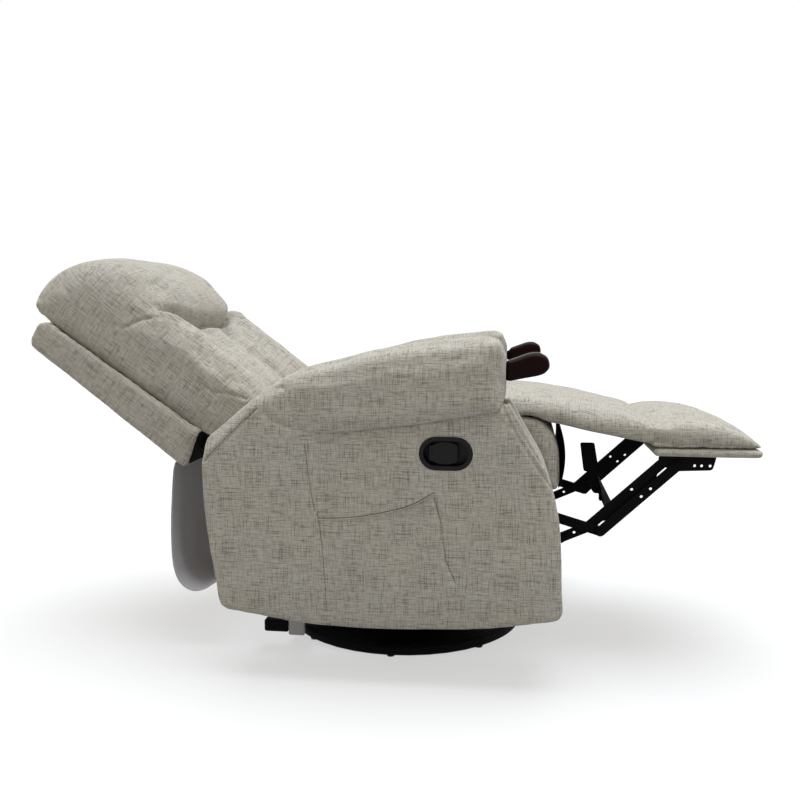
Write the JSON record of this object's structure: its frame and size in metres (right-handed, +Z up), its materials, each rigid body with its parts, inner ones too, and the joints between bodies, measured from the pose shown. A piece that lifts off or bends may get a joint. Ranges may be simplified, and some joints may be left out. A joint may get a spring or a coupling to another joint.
{
  "type": "swivel rocker recliner",
  "caption": "Upholstered recliner armchair that swivels and rocks on a round ring base, with a folding linked footrest, gliding seat, pull lever and side pocket.",
  "frame": {"origin": "on the floor under the middle of the chair as it lies reclined, 26 mm behind the centre of the ring base", "axes": "+X towards the sitter's feet, +Y to the sitter's left, +Z up"},
  "size_m": [1.554, 0.888, 0.87],
  "materials": {
    "upholstery_fabric": "matte",
    "black_steel": "satin",
    "spring_steel": "satin",
    "black_plastic": "satin",
    "frame_timber": "matte",
    "stained_hardwood": "gloss",
    "black_lining": "matte",
    "pale_nylon": "satin"
  },
  "bodies": {
    "base": {"floor_ring": "black_steel", "floor_pads": "black_plastic", "base_spider": "black_steel", "bearing_lower": "black_steel"},
    "turntable": {"bearing_upper": "spring_steel", "rocker_base": "black_steel", "tip_bar": "black_steel", "tip_pad_left": "pale_nylon", "tip_pad_right": "pale_nylon", "rocker_spring_front_left": "spring_steel", "rocker_spring_front_right": "spring_steel", "rocker_spring_rear_left": "spring_steel", "rocker_spring_rear_right": "spring_steel"},
    "chassis": {"rocker_left": "frame_timber", "rocker_right": "frame_timber", "spring_strap_front": "black_steel", "spring_strap_rear": "black_steel", "chassis_bar_front": "black_steel", "chassis_bar_rear": "black_steel", "mech_plate_left": "black_steel", "mech_plate_right": "black_steel", "side_panel_left": "upholstery_fabric", "side_panel_right": "upholstery_fabric", "arm_pillow_left": "upholstery_fabric", "arm_pillow_right": "upholstery_fabric", "hand_grip_left": "stained_hardwood", "hand_grip_right": "stained_hardwood", "lever_surround": "black_plastic", "lever_pin": "spring_steel", "pocket_bag": "black_lining"},
    "lever": {"lever_paddle": "black_plastic"},
    "seat": {"seat_frame": "frame_timber", "seat_spring_wire": "spring_steel", "seat_plate_left": "black_steel", "seat_plate_right": "black_steel", "seat_front_box": "upholstery_fabric", "seat_front_lining": "black_lining", "seat_cushion": "upholstery_fabric"},
    "backrest": {"back_shell": "upholstery_fabric", "back_frame": "frame_timber", "back_bracket_left": "black_steel", "back_bracket_right": "black_steel", "back_cushion": "upholstery_fabric", "headrest": "upholstery_fabric"},
    "rear_cloth": {"rear_cloth": "upholstery_fabric"},
    "front_links": {"front_link_left": "black_steel", "front_link_right": "black_steel"},
    "long_links": {"long_link_left": "black_steel", "long_link_right": "black_steel", "link_bar": "black_steel", "pad_prop": "black_steel"},
    "lower_links": {"lower_link_left": "black_steel", "lower_link_right": "black_steel"},
    "control_links": {"control_link_left": "black_steel", "control_link_right": "black_steel"},
    "footrest": {"foot_bracket_left": "black_steel", "foot_bracket_right": "black_steel", "footrest_board": "upholstery_fabric", "footrest_pad": "upholstery_fabric"},
    "chaise": {"chaise_pad": "upholstery_fabric"}
  },
  "joints": [
    {"name": "swivel", "type": "hinge", "parent": "base", "child": "turntable", "pos_m": [0.0261, 0, 0.0328], "axis": [0, 0, 1], "continuous": true},
    {"name": "rock", "type": "hinge", "parent": "turntable", "child": "chassis", "pos_m": [0.0261, 0, 0.0747], "axis": [0, 1, 0], "range_deg": [-7, 7], "stiffness_Nm_per_rad": 2400, "deforming": ["rocker_spring_front_left", "rocker_spring_front_right", "rocker_spring_rear_left", "rocker_spring_rear_right"]},
    {"name": "seat_glide", "type": "slide", "parent": "chassis", "child": "seat", "axis": [0.9781, 0, 0.2079], "range_m": [-0.05501, 0]},
    {"name": "recline", "type": "hinge", "parent": "seat", "child": "backrest", "pos_m": [-0.2439, 0, 0.4], "axis": [0, -1, 0], "range_deg": [-36, 0]},
    {"name": "cloth_swing", "type": "hinge", "parent": "backrest", "child": "rear_cloth", "pos_m": [-0.44588, 0, 0.41403], "axis": [0, -1, 0], "range_deg": [0, 44]},
    {"name": "footrest", "type": "hinge", "parent": "seat", "child": "front_links", "pos_m": [0.2751, 0, 0.335], "axis": [0, -1, 0], "range_deg": [-90, 0]},
    {"name": "long_link_turn", "type": "hinge", "parent": "front_links", "child": "long_links", "pos_m": [0.44211, 0, 0.28616], "axis": [0, -1, 0], "range_deg": [0, 96.71]},
    {"name": "lower_link_turn", "type": "hinge", "parent": "front_links", "child": "lower_links", "pos_m": [0.46706, 0, 0.27887], "axis": [0, -1, 0], "range_deg": [0, 96.71]},
    {"name": "foot_bracket_turn", "type": "hinge", "parent": "lower_links", "child": "footrest", "pos_m": [0.61996, 0, 0.42194], "axis": [0, -1, 0], "range_deg": [-96.71, 0]},
    {"name": "control_link_turn", "type": "hinge", "parent": "seat", "child": "control_links", "pos_m": [0.2131, 0, 0.311], "axis": [0, -1, 0], "range_deg": [-86.8, 0]},
    {"name": "chaise_fold", "type": "hinge", "parent": "seat", "child": "chaise", "pos_m": [0.3783, 0, 0.507], "axis": [0, -1, 0], "range_deg": [-51.75, 0]},
    {"name": "release_lever", "type": "hinge", "parent": "chassis", "child": "lever", "pos_m": [0.1271, -0.4244, 0.47], "axis": [0, 0, -1], "range_deg": [0, 35], "stiffness_Nm_per_rad": 0.4}
  ],
  "couplings": [
    {"joint": "seat_glide", "follows": "recline", "m_per_rad": 0.087535},
    {"joint": "cloth_swing", "follows": "recline", "ratio": -1.22},
    {"joint": "long_link_turn", "follows": "footrest", "ratio": -1.0744},
    {"joint": "lower_link_turn", "follows": "footrest", "ratio": -1.0744},
    {"joint": "foot_bracket_turn", "follows": "footrest", "ratio": 1.0744},
    {"joint": "control_link_turn", "follows": "footrest", "ratio": 0.963},
    {"joint": "chaise_fold", "follows": "footrest", "ratio": 0.575}
  ]
}
